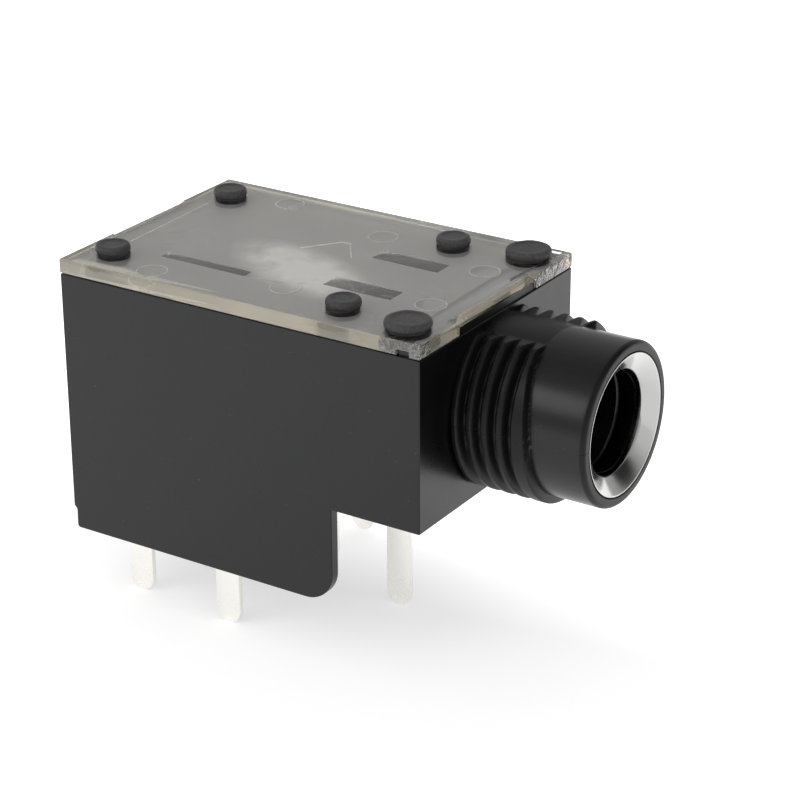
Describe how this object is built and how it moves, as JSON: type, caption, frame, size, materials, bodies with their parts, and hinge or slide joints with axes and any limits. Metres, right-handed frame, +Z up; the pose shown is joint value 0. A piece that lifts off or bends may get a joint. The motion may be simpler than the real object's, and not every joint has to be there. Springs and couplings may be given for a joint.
{
  "type": "audio jack socket",
  "caption": "Board-mounted stereo jack socket: a moulded housing with a threaded nose, a clear staked lid and sprung switching contacts for a quarter-inch plug.",
  "frame": {"origin": "on the plug's axis, where it passes the housing's front face, which bears on a panel", "axes": "+X along the plug's axis, out of the mouth; +Z up, away from the board; the part stands on its solder pins"},
  "size_m": [0.0347, 0.0176, 0.023],
  "materials": {
    "housing_plastic": "moulded black plastic, satin",
    "clear_plastic": "clear moulded plastic",
    "plated_ferrule": "bright nickel plate",
    "contact_metal": "tin plated strip, satin"
  },
  "bodies": {
    "socket": {"housing": "housing_plastic", "lid": "clear_plastic", "ferrule": "plated_ferrule", "tip_terminal": "contact_metal", "tip_switch": "contact_metal", "ring_terminal": "contact_metal", "ring_switch": "contact_metal", "sleeve_terminal": "contact_metal", "sleeve_switch": "contact_metal"},
    "tip_arm": {"tip_spring": "contact_metal"},
    "ring_arm": {"ring_spring": "contact_metal"},
    "sleeve_arm_near": {"sleeve_spring_near": "contact_metal"},
    "sleeve_arm_far": {"sleeve_spring_far": "contact_metal"}
  },
  "joints": [
    {"name": "tip_flex", "type": "hinge", "parent": "socket", "child": "tip_arm", "pos_m": [-0.02278, -0.0046, 0], "axis": [0, 0, -1], "range_deg": [0, 10], "stiffness_Nm_per_rad": 0.054},
    {"name": "ring_flex", "type": "hinge", "parent": "socket", "child": "ring_arm", "pos_m": [-0.02278, 0.0046, 0], "axis": [0, 0, 1], "range_deg": [0, 6], "stiffness_Nm_per_rad": 0.2},
    {"name": "sleeve_near_flex", "type": "hinge", "parent": "socket", "child": "sleeve_arm_near", "pos_m": [-0.00622, -0.0042, 0], "axis": [0, 0, 1], "range_deg": [0, 10], "stiffness_Nm_per_rad": 0.065},
    {"name": "sleeve_far_flex", "type": "hinge", "parent": "socket", "child": "sleeve_arm_far", "pos_m": [-0.00622, 0.0042, 0], "axis": [0, 0, -1], "range_deg": [0, 10], "stiffness_Nm_per_rad": 0.065}
  ]
}
